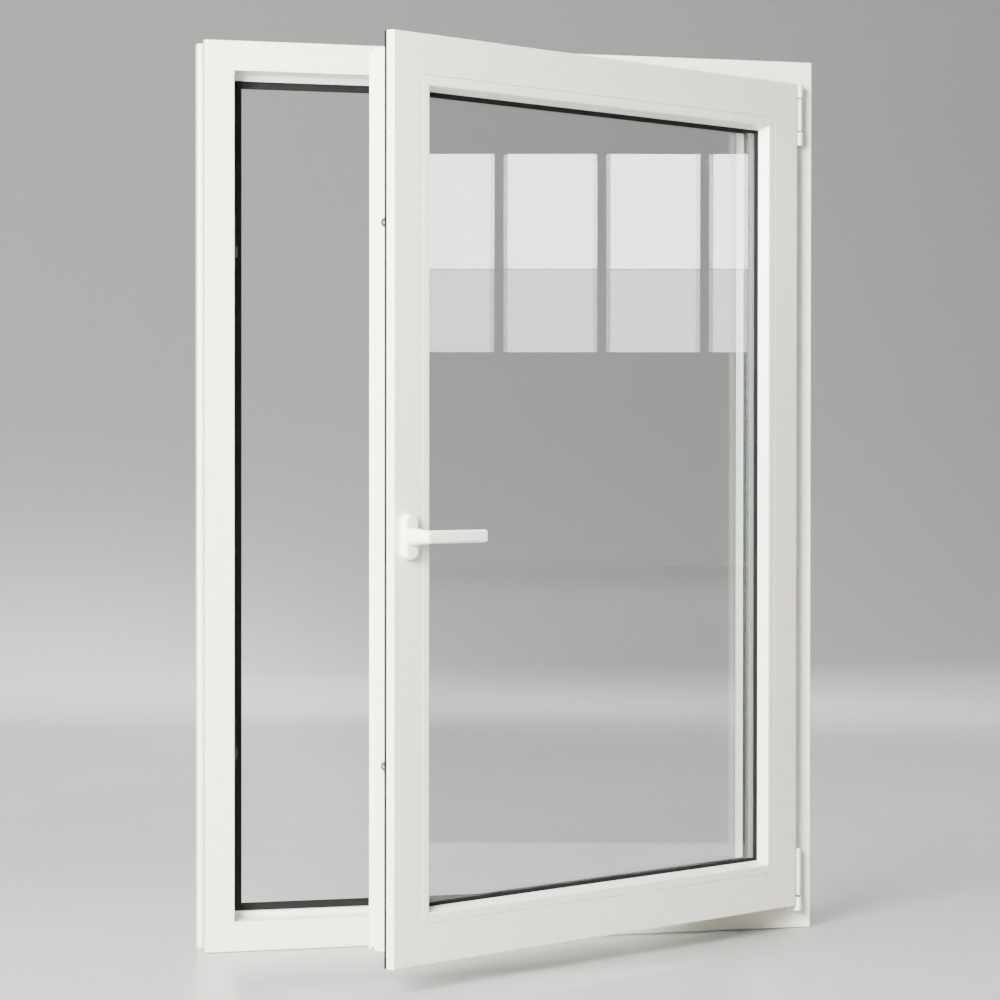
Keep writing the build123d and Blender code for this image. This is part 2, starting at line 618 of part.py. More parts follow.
# ---------------------------------------------------------------- lower hinge, frame side
with BuildPart() as corner_bearing:
    block((AXIS_X - LEG, AXIS_X + LEG), (AXIS_Y, GAP_FRAME[1]), (POT[0], POT[1]))
    block((REBATE_X - PLATE, AXIS_X + LEG), GAP_FRAME, (POT[0], POT[1] + 3.0))
    block((REBATE_X - PLATE, REBATE_X), (GAP_FRAME[0], FACE_Y + 24.0), (FRAME_FACE, POT[1] + 3.0))
    block((REBATE_X - 54.0, REBATE_X), (FACE_Y + 3.0, FACE_Y + 24.0), (FRAME_FACE, FOOT_PLATE))
    post((AXIS_X, AXIS_Y, POT[0]), UP, POT_R, POT[1] - POT[0])
    post((AXIS_X, AXIS_Y, POT[0] + 2.0), UP, BUSH_R, POT[1] - POT[0], Mode.SUBTRACT)
    for across, deep, height in FOOT_SCREWS:
        countersink((across, deep, height + PLATE), (0, 0, -1))

with BuildPart() as foot_screws:
    for across, deep, height in FOOT_SCREWS:
        sunk_screw((across, deep, height + PLATE), (0, 0, -1))

with BuildPart() as corner_bearing_cap:
    post((AXIS_X, AXIS_Y, POT[0] - 1.5), UP, CAP_R + 0.1, POT[1] - POT[0] + 1.7)
    fillet(corner_bearing_cap.edges().filter_by(GeomType.CIRCLE).group_by(Axis.Z)[0], 1.0)
    # toe under the sash's corner
    block((AXIS_X - 18.0, AXIS_X - LEG - SNUG), (AXIS_Y + 1.0, GAP_FRAME[0] - SNUG), (POT[0] - 1.0, MARGIN - 2.2))
    post((AXIS_X, AXIS_Y, POT[0]), UP, POT_R + SNUG, POT[1] - POT[0] + 1.0, Mode.SUBTRACT)
    block((AXIS_X - LEG - SNUG, AXIS_X + LEG + SNUG), (AXIS_Y, AXIS_Y + CAP_R + 1), (POT[0], POT[1] + 1), Mode.SUBTRACT)
    post((AXIS_X, AXIS_Y, TILT_HEIGHT + 3.5), (1, 0, 0), 1.6, CAP_R + 1, Mode.SUBTRACT)

with BuildPart() as pivot_bush:
    post((AXIS_X, AXIS_Y, POT[0] + 2.0 + GAP), UP, BUSH_R - RUN, 15.0)
    with Locations((AXIS_X, AXIS_Y, TILT_HEIGHT)):
        Sphere(4.0, mode=Mode.SUBTRACT)
    post((AXIS_X, AXIS_Y, TILT_HEIGHT), UP, 4.0, 10.0, Mode.SUBTRACT)
    post((AXIS_X - BUSH_R, AXIS_Y, TILT_HEIGHT), (1, 0, 0), TILT_PIN_R, 2 * BUSH_R, Mode.SUBTRACT)

with BuildPart() as tilt_pin:
    post((AXIS_X - TILT_PIN_HALF, AXIS_Y, TILT_HEIGHT), (1, 0, 0), TILT_PIN_R, 2 * TILT_PIN_HALF)

finish(stay_bearing, "stay_bearing")
finish(stay_pin, "stay_pin")
finish(stay_bearing_caps, "stay_bearing_caps")
finish(bearing_screws, "bearing_screws")
finish(corner_bearing, "corner_bearing")
finish(foot_screws, "foot_screws")
finish(corner_bearing_cap, "corner_bearing_cap")
finish(pivot_bush, "pivot_bush", OPENED)
finish(tilt_pin, "tilt_pin", OPENED)

# ---------------------------------------------------------------- sash bars
sash_bars = {side: mitred_bar(sash_section.sketch, side, SASH_RECT) for side in SIDES}
CASE_HALF = 60.0
CASE_WIDE = 14.6
CASE_IN = (STEP + FACEPLATE + SNUG, STEP + BACKSET + TRAVEL + 8.0)
SPINDLE_HOLE = 6.5
SCREW_HEIGHTS = (HANDLE_Z - HANDLE_SCREWS / 2, HANDLE_Z + HANDLE_SCREWS / 2)


def bore_for_handle():
    """Room for the gearbox, the spindle and the two handle screws, in the lock stile or its steel."""
    half = CASE_WIDE / 2 + 0.3
    deep_end = SASH_LEFT + CASE_IN[1] + 0.5
    block(
        (SASH_LEFT + STEP - 1, deep_end),
        (GROOVE_Y - half, GROOVE_Y + half),
        (HANDLE_Z - CASE_HALF - 0.5, HANDLE_Z + CASE_HALF + 0.5),
        Mode.SUBTRACT,
    )
    post((HANDLE_X, SASH_Y - 1, HANDLE_Z), OUTDOORS, SPINDLE_HOLE, GROOVE, Mode.SUBTRACT)
    for height in SCREW_HEIGHTS:
        post((HANDLE_X, SASH_Y - 1, height), OUTDOORS, 2.8, GROOVE, Mode.SUBTRACT)


with BuildPart() as sash_lock_stile:
    add(sash_bars["lock"].part)
    bore_for_handle()
    for height in lock_screw_spots:
        pilot((PLATE_X[0], GROOVE_Y, height), (1, 0, 0), 12.5)

with BuildPart() as sash_top_rail:
    add(sash_bars["top"].part)
    for spot in guide_screw_spots:
        pilot((spot, GROOVE_Y, PLATE_TOP_Z[1]), (0, 0, -1), 12.5)

with BuildPart() as sash_hinge_stile:
    add(sash_bars["hinge"].part)
    for spot in HINGE_SCREWS:
        pilot(spot, (-1, 0, 0), 24.5)

sash_steel_bars = [square_bar(sash_steel_section, side, SASH_RECT, JOINT_LINE + 4.0).part for side in SIDES]
with BuildPart() as sash_steels:
    add(sash_steel_bars)
    bore_for_handle()
    for spot in HINGE_SCREWS:
        pilot(spot, (-1, 0, 0), 24.5)

lap_seal_bars = [mitred_bar(lap_seal_section.sketch, side, SASH_RECT).part for side in SIDES]
with BuildPart() as sash_gasket:
    add(lap_seal_bars)
    gap_y = (LIP_BACK_Y - 4.0, FACE_Y + 1.0)
    block((REBATE_X - 7.0, AXIS_X), gap_y, (POT[0], POT[1] + 80.0), Mode.SUBTRACT)
    block((REBATE_X - 7.0, AXIS_X), gap_y, (LOW_KNUCKLE[0] - 3.0, BEARING_TOP + 3.0), Mode.SUBTRACT)

finish(sash_bars["bottom"], "sash_bottom_rail", OPENED)
finish(sash_top_rail, "sash_top_rail", OPENED)
finish(sash_hinge_stile, "sash_hinge_stile", OPENED)
finish(sash_lock_stile, "sash_lock_stile", OPENED)
finish(sash_steels, "sash_steels", OPENED)
finish(sash_gasket, "sash_gasket", OPENED)

# ---------------------------------------------------------------- glazing
for side in SIDES:
    finish(mitred_bar(bead_section.sketch, side, SASH_RECT), f"bead_{side}", OPENED)

ring_sections = {
    "bead_gasket": bead_seal_section.sketch,
    "outer_glass_gasket": outer_seal_section.sketch,
    "spacer_bar": spacer_section,
    "edge_seal": edge_seal_section.sketch,
}
for label, section in ring_sections.items():
    ring_bars = [mitred_bar(section, side, SASH_RECT).part for side in SIDES]
    with BuildPart() as ring:
        add(ring_bars)
    finish(ring, label, OPENED)

PANE_X = SASH_RIGHT - GLASS_IN
PANE_Z = (MARGIN + GLASS_IN, SASH_TOP - GLASS_IN)
for label, deep in (("inner_pane", GLASS_DEEP), ("outer_pane", GLASS_DEEP + PANE + CAVITY)):
    with BuildPart() as pane:
        block((-PANE_X, PANE_X), (SASH_Y + deep, SASH_Y + deep + PANE), PANE_Z)
    finish(pane, label, OPENED)

BLOCK_LONG = 80.0
with BuildPart() as glazing_blocks:
    block_y = (SASH_Y + GLASS_DEEP - 1.0, SASH_Y + UPSTAND - 2.5)
    for across in (-PANE_X + 90.0, PANE_X - 90.0):
        for low in (MARGIN + JOINT_LINE, SASH_TOP - GLASS_IN):
            block((across - BLOCK_LONG / 2, across + BLOCK_LONG / 2), block_y, (low, low + GLASS_CLEAR))
    for left in (SASH_LEFT + JOINT_LINE, SASH_RIGHT - GLASS_IN):
        for middle in (PANE_Z[0] + 90.0, PANE_Z[1] - 90.0):
            block((left, left + GLASS_CLEAR), block_y, (middle - BLOCK_LONG / 2, middle + BLOCK_LONG / 2))
finish(glazing_blocks, "glazing_blocks", OPENED)

# ---------------------------------------------------------------- lower hinge, sash side
with BuildPart() as corner_hinge:
    post((AXIS_X, AXIS_Y, BARREL[0]), UP, KNUCKLE_R - 0.2, BARREL[1] - BARREL[0])
    block((AXIS_X - LEG, AXIS_X + 3.0), (AXIS_Y, GAP_SASH[1]), (BARREL[0] + 4.0, BARREL[1]))
    block((SASH_REBATE_X, AXIS_X + 3.0), GAP_SASH, (BARREL[0] + 4.0, BARREL[1]))
    block(
        (SASH_REBATE_X, SASH_REBATE_X + HINGE_PLATE_IN),
        (GAP_SASH[0], FACE_Y + 22.0),
        (BARREL[0] + 4.0, BARREL[1]),
    )
    post((AXIS_X, AXIS_Y, TILT_HEIGHT), UP, 2.6, BARREL[0] - TILT_HEIGHT + 1.0)
    with Locations((AXIS_X, AXIS_Y, TILT_HEIGHT)):
        Sphere(3.7)
    post((AXIS_X - 4.0, AXIS_Y, TILT_HEIGHT), (1, 0, 0), TILT_PIN_R + RUN, 8.0, Mode.SUBTRACT)
    for spot in HINGE_SCREWS:
        post(spot, (1, 0, 0), 2.0, HINGE_PLATE_IN, Mode.SUBTRACT)

with BuildPart() as corner_hinge_screws:
    for across, deep, height in HINGE_SCREWS:
        pan_screw((across + HINGE_PLATE_IN, deep, height), (-1, 0, 0), 1.6, 24.0)

with BuildPart() as corner_hinge_sleeve:
    post((AXIS_X, AXIS_Y, BARREL[0]), UP, SLEEVE_R, BARREL[1] - BARREL[0] + 2.8)
    fillet(corner_hinge_sleeve.edges().filter_by(GeomType.CIRCLE).group_by(Axis.Z)[-1], 2.4)
    post((AXIS_X, AXIS_Y, BARREL[0] - 2.0), UP, KNUCKLE_R, BARREL[1] - BARREL[0] + 2.0 + SNUG, Mode.SUBTRACT)
    block(
        (AXIS_X - LEG - SNUG, AXIS_X + LEG + SNUG),
        (AXIS_Y, AXIS_Y + SLEEVE_R + 1),
        (BARREL[0] - 2.0, BARREL[1] + SNUG),
        Mode.SUBTRACT,
    )

finish(corner_hinge, "corner_hinge", OPENED)
finish(corner_hinge_screws, "corner_hinge_screws", OPENED)
finish(corner_hinge_sleeve, "corner_hinge_sleeve", OPENED)

# ---------------------------------------------------------------- stay arm
ARM_Z = (HEIGHT - FRAME_FACE - 8.5, HEIGHT - FRAME_FACE - 5.5)
ARM_WIDE = 14.0
STUD_R = 2.5

with BuildPart() as stay_arm:
    post((AXIS_X, AXIS_Y, STAY_Z[0]), UP, KNUCKLE_R, STAY_Z[1] - STAY_Z[0])
    block((AXIS_X - LEG, AXIS_X + 3.0), (AXIS_Y, GAP_SASH[1]), STAY_Z)
    block((ARM_PLATE_X, AXIS_X + 3.0), GAP_SASH, STAY_Z)
    block((ARM_PLATE_X, ARM_PLATE_X + PLATE), (GAP_SASH[0], FACE_Y + 3.0), (STAY_Z[0], ARM_Z[1]))
    post((AXIS_X, AXIS_Y, STAY_Z[0]), UP, PIN_R + RUN, STAY_Z[1] - STAY_Z[0], Mode.SUBTRACT)
    with BuildSketch(Plane.XY.offset(ARM_Z[0])):
        with BuildLine():
            Polyline(
                (ARM_PLATE_X + PLATE, GAP_SASH[0]),
                (ARM_PLATE_X + PLATE, FACE_Y + 3.0),
                (ARM_PLATE_X - 30.0, GROOVE_Y + ARM_WIDE / 2),
                (STUD_X - 8.0, GROOVE_Y + ARM_WIDE / 2),
                (STUD_X - 8.0, GROOVE_Y - ARM_WIDE / 2),
                (ARM_PLATE_X - 30.0, GROOVE_Y - ARM_WIDE / 2),
                (ARM_PLATE_X, GAP_SASH[0]),
                close=True,
            )
        make_face()
    extrude(amount=ARM_Z[1] - ARM_Z[0])
    fillet(stay_arm.edges().filter_by(Axis.Z).group_by(Axis.X)[0], 5.0)
    post((STUD_X, GROOVE_Y, ARM_Z[0]), UP, STUD_R, PLATE, Mode.SUBTRACT)

with BuildPart() as stay_stud:
    post((STUD_X, GROOVE_Y, SASH_TOP - STEP - GROOVE_STEP - CHANNEL_DEEP + 1.5), UP, STUD_R, 12.5)
    stud_top = SASH_TOP - STEP - GROOVE_STEP - CHANNEL_DEEP + 14.0
    post((STUD_X, GROOVE_Y, ARM_Z[1]), UP, STUD_R + 2.0, 1.2)
    post((STUD_X, GROOVE_Y, stud_top - 1.0), UP, STUD_R, ARM_Z[1] - stud_top + 1.2)

with BuildPart() as stay_sleeve:
    post((AXIS_X, AXIS_Y, STAY_Z[0]), UP, SLEEVE_R, STAY_Z[1] - STAY_Z[0])
    post((AXIS_X, AXIS_Y, STAY_Z[0]), UP, KNUCKLE_R + SNUG, STAY_Z[1] - STAY_Z[0], Mode.SUBTRACT)
    block((AXIS_X - LEG - SNUG, AXIS_X + LEG), (AXIS_Y, AXIS_Y + SLEEVE_R + 1), STAY_Z, Mode.SUBTRACT)

finish(stay_arm, "stay_arm", OPENED)
finish(stay_stud, "stay_stud", OPENED)
finish(stay_sleeve, "stay_sleeve", OPENED)

# ---------------------------------------------------------------- faceplates and drive
with BuildPart() as lock_faceplate:
    block(PLATE_X, PLATE_Y, lock_plate_z)
    with BuildSketch(Plane(origin=(PLATE_X[0], GROOVE_Y, 0), x_dir=UP, z_dir=(1, 0, 0))):
        with Locations(*[(height, 0) for height in CAM_HEIGHTS]):
            SlotOverall(SLOT_LONG, SLOT_WIDE)
        with Locations(*[(height, 0) for height in lock_screw_spots]):
            Circle(2.0)
    extrude(amount=FACEPLATE, mode=Mode.SUBTRACT)

with BuildPart() as stay_guide:
    block(guide_x, PLATE_Y, PLATE_TOP_Z)
    with BuildSketch(Plane(origin=(0, GROOVE_Y, PLATE_TOP_Z[0]), x_dir=(1, 0, 0), z_dir=UP)):
        with Locations((TOP_CAM_X, 0)):
            SlotOverall(SLOT_LONG, SLOT_WIDE)
        with Locations((STUD_X + 12.0, 0)):
            SlotOverall(56.0, 2 * STUD_R + 6.4)
        with Locations(*[(spot, 0) for spot in guide_screw_spots]):
            Circle(2.0)
    extrude(amount=FACEPLATE, mode=Mode.SUBTRACT)

with BuildPart() as faceplate_screws:
    for height in lock_screw_spots:
        pan_screw((PLATE_X[0], GROOVE_Y, height), (1, 0, 0), 1.4, 12.0)
    for spot in guide_screw_spots:
        pan_screw((spot, GROOVE_Y, PLATE_TOP_Z[1]), (0, 0, -1), 1.4, 12.0)

with BuildPart() as corner_drives:
    leg_x = (PLATE_X[0], PLATE_X[0] + CORNER_LEG)
    block(PLATE_X, PLATE_Y, (PLATE_TOP_Z[1] - CORNER_LEG, PLATE_TOP_Z[1]))
    block(leg_x, PLATE_Y, PLATE_TOP_Z)
    block(PLATE_X, PLATE_Y, (PLATE_LOW_Z[0], PLATE_LOW_Z[0] + CORNER_LEG))
    block(leg_x, PLATE_Y, PLATE_LOW_Z)

ROD_X = (SASH_LEFT + ROD_IN, SASH_LEFT + ROD_IN + ROD_THICK)
ROD_Y = (GROOVE_Y - ROD_WIDE / 2, GROOVE_Y + ROD_WIDE / 2)
ROD_TOP_Z = (SASH_TOP - ROD_IN - ROD_THICK, SASH_TOP - ROD_IN)
ROD_END = SCREW_IN + SCREW_R + TRAVEL + 3.0      # rod's end inside the faceplate's end
YOKE_WEB = (TRAVEL + 8.5, TRAVEL + 14.5)
YOKE_Y = (GROOVE_Y + 0.4, GROOVE_Y + 3.6)
CRANK_PIN_R = 2.5
HUB_R = 5.3
# The crank's pin runs ahead of the rod by up to a fifth of the travel, so its slot has that much room.
YOKE_SLOT = CRANK_PIN_R + 0.22 * TRAVEL + GAP
YOKE_X = (HANDLE_X + HUB_R + 1.0, HANDLE_X + TRAVEL + CRANK_PIN_R + 3.0)

with BuildPart() as drive_rod:
    block(ROD_X, ROD_Y, (lock_plate_z[0] + ROD_END, HANDLE_Z - YOKE_WEB[0]))
    block(ROD_X, ROD_Y, (HANDLE_Z + YOKE_WEB[0], lock_plate_z[1] - ROD_END))
    for side in (-1, 1):
        web_z = (HANDLE_Z + side * YOKE_WEB[0], HANDLE_Z + side * YOKE_WEB[1])
        block((ROD_X[0], YOKE_X[1]), YOKE_Y, web_z)
        block(YOKE_X, YOKE_Y, (HANDLE_Z + side * YOKE_SLOT, HANDLE_Z + side * YOKE_WEB[1]))
    block((YOKE_X[1] - 2.0, YOKE_X[1]), YOKE_Y, (HANDLE_Z - YOKE_WEB[1], HANDLE_Z + YOKE_WEB[1]))
    block(
        (HANDLE_X + TRAVEL - CRANK_PIN_R - 1.0, YOKE_X[1] - 1.0),
        (YOKE_Y[0] - 1, YOKE_Y[1] + 1),
        (HANDLE_Z - YOKE_SLOT, HANDLE_Z + YOKE_SLOT),
        Mode.SUBTRACT,
    )

with BuildPart() as top_rod:
    block((PLATE_X[0] + CORNER_LEG + ROD_END, TOP_CAM_X + 60.0), ROD_Y, ROD_TOP_Z)


def cam(seat, outward):
    """A roller cam with a wider head, standing on the rod."""
    stem = ROD_IN - STEP + 1.0
    post(seat, outward, STEM_R, ROD_IN - STEP + CAM_PROUD)
    tip = Vector(*seat) + Vector(*outward) * stem
    post(tip, outward, STEM_R + 1.2, CAM_PROUD - 3.5)
    post(tip + Vector(*outward) * (CAM_PROUD - 3.5), outward, CAM_R, 2.5)
    post(tip + Vector(*outward) * (CAM_PROUD - 3.0), outward, 2.0, 2.0, Mode.SUBTRACT)


with BuildPart() as locking_cams:
    for height in CAM_HEIGHTS:
        cam((ROD_X[0], GROOVE_Y, height), (-1, 0, 0))

with BuildPart() as top_cam:
    cam((TOP_CAM_X, GROOVE_Y, ROD_TOP_Z[1]), UP)

CASE_SHELL = 1.6
CASE_X = (SASH_LEFT + CASE_IN[0], SASH_LEFT + CASE_IN[1])
CASE_Y = (GROOVE_Y - CASE_WIDE / 2, GROOVE_Y + CASE_WIDE / 2)
HUB_HOLE = HUB_R + RUN + 0.05
with BuildPart() as gearbox:
    block(CASE_X, CASE_Y, (HANDLE_Z - CASE_HALF, HANDLE_Z + CASE_HALF))
    block(
        (CASE_X[0] - 1, CASE_X[1] - CASE_SHELL),
        (CASE_Y[0] + CASE_SHELL, CASE_Y[1] - CASE_SHELL),
        (HANDLE_Z - CASE_HALF + CASE_SHELL, HANDLE_Z + CASE_HALF - CASE_SHELL),
        Mode.SUBTRACT,
    )
    block(
        (CASE_X[0] - 1, ROD_X[1] + 0.5),
        (ROD_Y[0] - 0.5, ROD_Y[1] + 0.5),
        (HANDLE_Z - CASE_HALF - 1, HANDLE_Z + CASE_HALF + 1),
        Mode.SUBTRACT,
    )
    post((HANDLE_X, CASE_Y[0] - 1, HANDLE_Z), OUTDOORS, HUB_HOLE, CASE_WIDE + 2, Mode.SUBTRACT)
    for height in SCREW_HEIGHTS:
        post((HANDLE_X, CASE_Y[0] - 1, height), OUTDOORS, 2.5, CASE_SHELL + 1, Mode.SUBTRACT)

finish(lock_faceplate, "lock_faceplate", OPENED)
finish(stay_guide, "stay_guide", OPENED)
finish(faceplate_screws, "faceplate_screws", OPENED)
finish(corner_drives, "corner_drives", OPENED)
finish(drive_rod, "drive_rod", OPENED)
finish(top_rod, "top_rod", OPENED)
finish(locking_cams, "locking_cams", OPENED)
finish(top_cam, "top_cam", OPENED)
finish(gearbox, "gearbox", OPENED)

# ---------------------------------------------------------------- handle
HUB_OUT_R = 9.0
GRIP_FACE_Y = SASH_Y - HANDLE_PROUD
NECK_Y = SASH_Y - ROSETTE_THICK - GAP
SPINDLE_Y = (SASH_Y - ROSETTE_THICK - 10.0, CASE_Y[1])
CRANK_Y = (GROOVE_Y - 4.0, GROOVE_Y - 0.1)


def square_hole(y, mode=Mode.SUBTRACT, spare=0.1):
    """The spindle's square, or the hole for it."""
    half = SPINDLE / 2 + spare
    block((HANDLE_X - half, HANDLE_X + half), y, (HANDLE_Z - half, HANDLE_Z + half), mode)


ON_SASH = Plane(origin=(HANDLE_X, SASH_Y, HANDLE_Z), x_dir=UP, z_dir=INDOORS)

with BuildPart() as rosette:
    with BuildSketch(ON_SASH):
        SlotOverall(ROSETTE_TALL, ROSETTE_WIDE)
    extrude(amount=ROSETTE_THICK)
    fillet(rosette.faces().sort_by(Axis.Y)[0].edges(), 3.5)
    post((HANDLE_X, SASH_Y, HANDLE_Z), INDOORS, HUB_OUT_R + RUN, ROSETTE_THICK, Mode.SUBTRACT)
    with BuildSketch(ON_SASH):
        SlotOverall(ROSETTE_TALL - 2 * COVER_WALL, ROSETTE_WIDE - 2 * COVER_WALL)
        Circle(HUB_OUT_R + COVER_WALL, mode=Mode.SUBTRACT)
    extrude(amount=BASE_THICK + SCREW_CAP + 0.4, mode=Mode.SUBTRACT)

with BuildPart() as handle_base:
    with BuildSketch(ON_SASH):
        SlotOverall(ROSETTE_TALL - 2 * COVER_WALL - 2 * SNUG, ROSETTE_WIDE - 2 * COVER_WALL - 2 * SNUG)
        Circle(HUB_OUT_R + COVER_WALL + SNUG, mode=Mode.SUBTRACT)
        with Locations((HANDLE_SCREWS / 2, 0), (-HANDLE_SCREWS / 2, 0)):
            Circle(2.5, mode=Mode.SUBTRACT)
    extrude(amount=BASE_THICK)

with BuildPart() as handle_screws:
    for height in SCREW_HEIGHTS:
        head = (HANDLE_X, SASH_Y - BASE_THICK, height)
        post(head, INDOORS, 4.2, SCREW_CAP)
        post(head, OUTDOORS, 2.4, BASE_THICK + CASE_Y[0] + CASE_SHELL - SASH_Y)
        drive((HANDLE_X, SASH_Y - BASE_THICK - SCREW_CAP, height), OUTDOORS)

with BuildPart() as handle_lever:
    with BuildSketch(Plane(origin=(HANDLE_X, GRIP_FACE_Y + GRIP_THICK, HANDLE_Z), x_dir=(1, 0, 0), z_dir=INDOORS)):
        Circle(GRIP_TALL / 2)
        with Locations((LEVER / 2, 0)):
            Rectangle(LEVER, GRIP_TALL)
    extrude(amount=GRIP_THICK)
    fillet(handle_lever.edges().filter_by(Axis.Y).group_by(Axis.X)[-1], 4.6)
    fillet(handle_lever.faces().sort_by(Axis.Y)[0].edges(), 4.2)
    fillet(handle_lever.faces().sort_by(Axis.Y)[-1].edges(), 4.2)
    with Locations(Plane(origin=(HANDLE_X, NECK_Y, HANDLE_Z), z_dir=INDOORS)):
        Cone(NECK_R, GRIP_TALL / 2, NECK_Y - GRIP_FACE_Y - 6.0, align=BASE)
    post((HANDLE_X, SASH_Y - 1.0, HANDLE_Z), INDOORS, HUB_OUT_R, SASH_Y - 1.0 - NECK_Y)
    square_hole((SASH_Y, SPINDLE_Y[0]))

with BuildPart() as spindle:
    square_hole(SPINDLE_Y, Mode.ADD, 0.0)

with BuildPart() as gear_crank:
    post((HANDLE_X, CASE_Y[0] + 0.2, HANDLE_Z), OUTDOORS, HUB_R, CASE_WIDE - 0.4)
    block(
        (HANDLE_X, HANDLE_X + TRAVEL),
        CRANK_Y,
        (HANDLE_Z - CRANK_PIN_R - 1.0, HANDLE_Z + CRANK_PIN_R + 1.0),
    )
    post((HANDLE_X + TRAVEL, CRANK_Y[0], HANDLE_Z), OUTDOORS, CRANK_PIN_R, YOKE_Y[1] - CRANK_Y[0])
    square_hole((CASE_Y[0], CASE_Y[1]))

finish(rosette, "rosette", OPENED)
finish(handle_base, "handle_base", OPENED)
finish(handle_screws, "handle_screws", OPENED)
finish(handle_lever, "handle_lever", OPENED)
finish(spindle, "spindle", OPENED)
finish(gear_crank, "gear_crank", OPENED)

print("hinge axis", AXIS_X, AXIS_Y, "handle", HANDLE_X, HANDLE_Z, "slide ratio", TRAVEL / 1000 / (pi / 2))
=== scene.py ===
import json
from math import cos, pi, radians, sin

import bmesh
import bpy
from mathutils import Matrix, Vector

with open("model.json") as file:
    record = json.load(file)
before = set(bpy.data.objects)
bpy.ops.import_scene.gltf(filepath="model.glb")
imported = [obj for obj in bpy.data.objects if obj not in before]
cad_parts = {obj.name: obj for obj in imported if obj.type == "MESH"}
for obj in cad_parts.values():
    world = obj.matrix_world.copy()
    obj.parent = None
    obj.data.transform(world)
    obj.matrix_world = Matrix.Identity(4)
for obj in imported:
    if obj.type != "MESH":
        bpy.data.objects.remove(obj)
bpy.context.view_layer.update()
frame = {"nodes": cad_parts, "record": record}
nodes = frame["nodes"]


# ---------------------------------------------------------------- materials
class Finish:
    """A procedural finish: colour, roughness and relief from noise on Object coordinates."""

    def __init__(self, name, base, rough, metal=0.0, coat=0.0, coat_rough=0.1, specular=0.5):
        self.material = bpy.data.materials.new(name)
        self.material.use_nodes = True
        self.tree = self.material.node_tree
        self.shader = next(n for n in self.tree.nodes if n.type == "BSDF_PRINCIPLED")
        self.output = next(n for n in self.tree.nodes if n.type == "OUTPUT_MATERIAL")
        self.base = base
        self.rough = rough
        self.shader.inputs["Metallic"].default_value = metal
        self.shader.inputs["Coat Weight"].default_value = coat
        self.shader.inputs["Coat Roughness"].default_value = coat_rough
        self.shader.inputs["Specular IOR Level"].default_value = specular
        self.relief = None
        self.place = self.add("ShaderNodeTexCoord").outputs["Object"]

    def add(self, kind, **settings):
        node = self.tree.nodes.new(kind)
        for key, value in settings.items():
            setattr(node, key, value)
        return node

    def link(self, source, target):
        self.tree.links.new(source, target)

    def stretched(self, scale, turn=(0, 0, 0)):
        """The place on the piece, stretched along some axes."""
        node = self.add("ShaderNodeMapping")
        node.inputs["Scale"].default_value = scale
        node.inputs["Rotation"].default_value = turn
        self.link(self.place, node.inputs["Vector"])
        return node.outputs["Vector"]

    def noise(self, scale, detail=3.0, place=None, rough=0.55):
        node = self.add("ShaderNodeTexNoise")
        node.inputs["Scale"].default_value = scale
        node.inputs["Detail"].default_value = detail
        node.inputs["Roughness"].default_value = rough
        self.link(place or self.place, node.inputs["Vector"])
        return node.outputs["Fac"]

    def spread(self, source, low, high, start=0.3, end=0.7):
        """Map a pattern to a range of numbers."""
        node = self.add("ShaderNodeMapRange")
        node.inputs["From Min"].default_value = start
        node.inputs["From Max"].default_value = end
        node.inputs["To Min"].default_value = low
        node.inputs["To Max"].default_value = high
        self.link(source, node.inputs["Value"])
        return node.outputs["Result"]

    def shade(self, source, dark, light, start=0.3, end=0.7):
        """Colour that runs from dark to light along a pattern."""
        node = self.add("ShaderNodeMix", data_type="RGBA")
        node.inputs["A"].default_value = (*dark, 1)
        node.inputs["B"].default_value = (*light, 1)
        self.link(self.spread(source, 0.0, 1.0, start, end), node.inputs["Factor"])
        return node.outputs["Result"]

    def colour(self, source, change, tint=(1, 1, 1)):
        """Let the base colour drift by a small share along a pattern."""
        dark = [c * (1 - change * t) for c, t in zip(self.base, tint)]
        light = [min(1.0, c * (1 + change)) for c in self.base]
        self.link(self.shade(source, dark, light), self.shader.inputs["Base Color"])

    def roughness(self, source, change):
        result = self.spread(source, self.rough - change, self.rough + change)
        self.link(result, self.shader.inputs["Roughness"])

    def bump(self, source, height, strength=1.0):
        """Stack a relief, its height in metres, on those made before."""
        node = self.add("ShaderNodeBump")
        node.inputs["Strength"].default_value = strength
        node.inputs["Distance"].default_value = height
        self.link(source, node.inputs["Height"])
        if self.relief:
            self.link(self.relief, node.inputs["Normal"])
        self.relief = node.outputs["Normal"]
        self.link(self.relief, self.shader.inputs["Normal"])

    def soft_edges(self, radius):
        """Round the light on sharp edges."""
        node = self.add("ShaderNodeBevel", samples=4)
        node.inputs["Radius"].default_value = radius
        self.relief = node.outputs["Normal"]
        self.link(self.relief, self.shader.inputs["Normal"])


def moulded_plastic(name, base, rough=0.3, grain=1400.0, edge=0.00025):
    """Extruded or moulded plastic with a satin skin."""
    skin = Finish(name, base, rough, coat=0.15, coat_rough=0.12)
    skin.soft_edges(edge)
    skin.colour(skin.noise(2.2, 2.0), 0.012, (1.0, 1.0, 1.35))
    skin.roughness(skin.noise(38.0, 4.0), 0.05)
    skin.bump(skin.noise(grain, 2.0), 0.000006, 0.4)
    return skin.material


def rubber_seal(name, base):
    """Black seal rubber, dull, with a finely uneven skin."""
    skin = Finish(name, base, 0.72, specular=0.08)
    skin.soft_edges(0.0003)
    skin.colour(skin.noise(60.0, 3.0), 0.18)
    skin.roughness(skin.noise(90.0, 4.0), 0.12)
    skin.bump(skin.noise(900.0, 3.0), 0.00003, 0.7)
    return skin.material


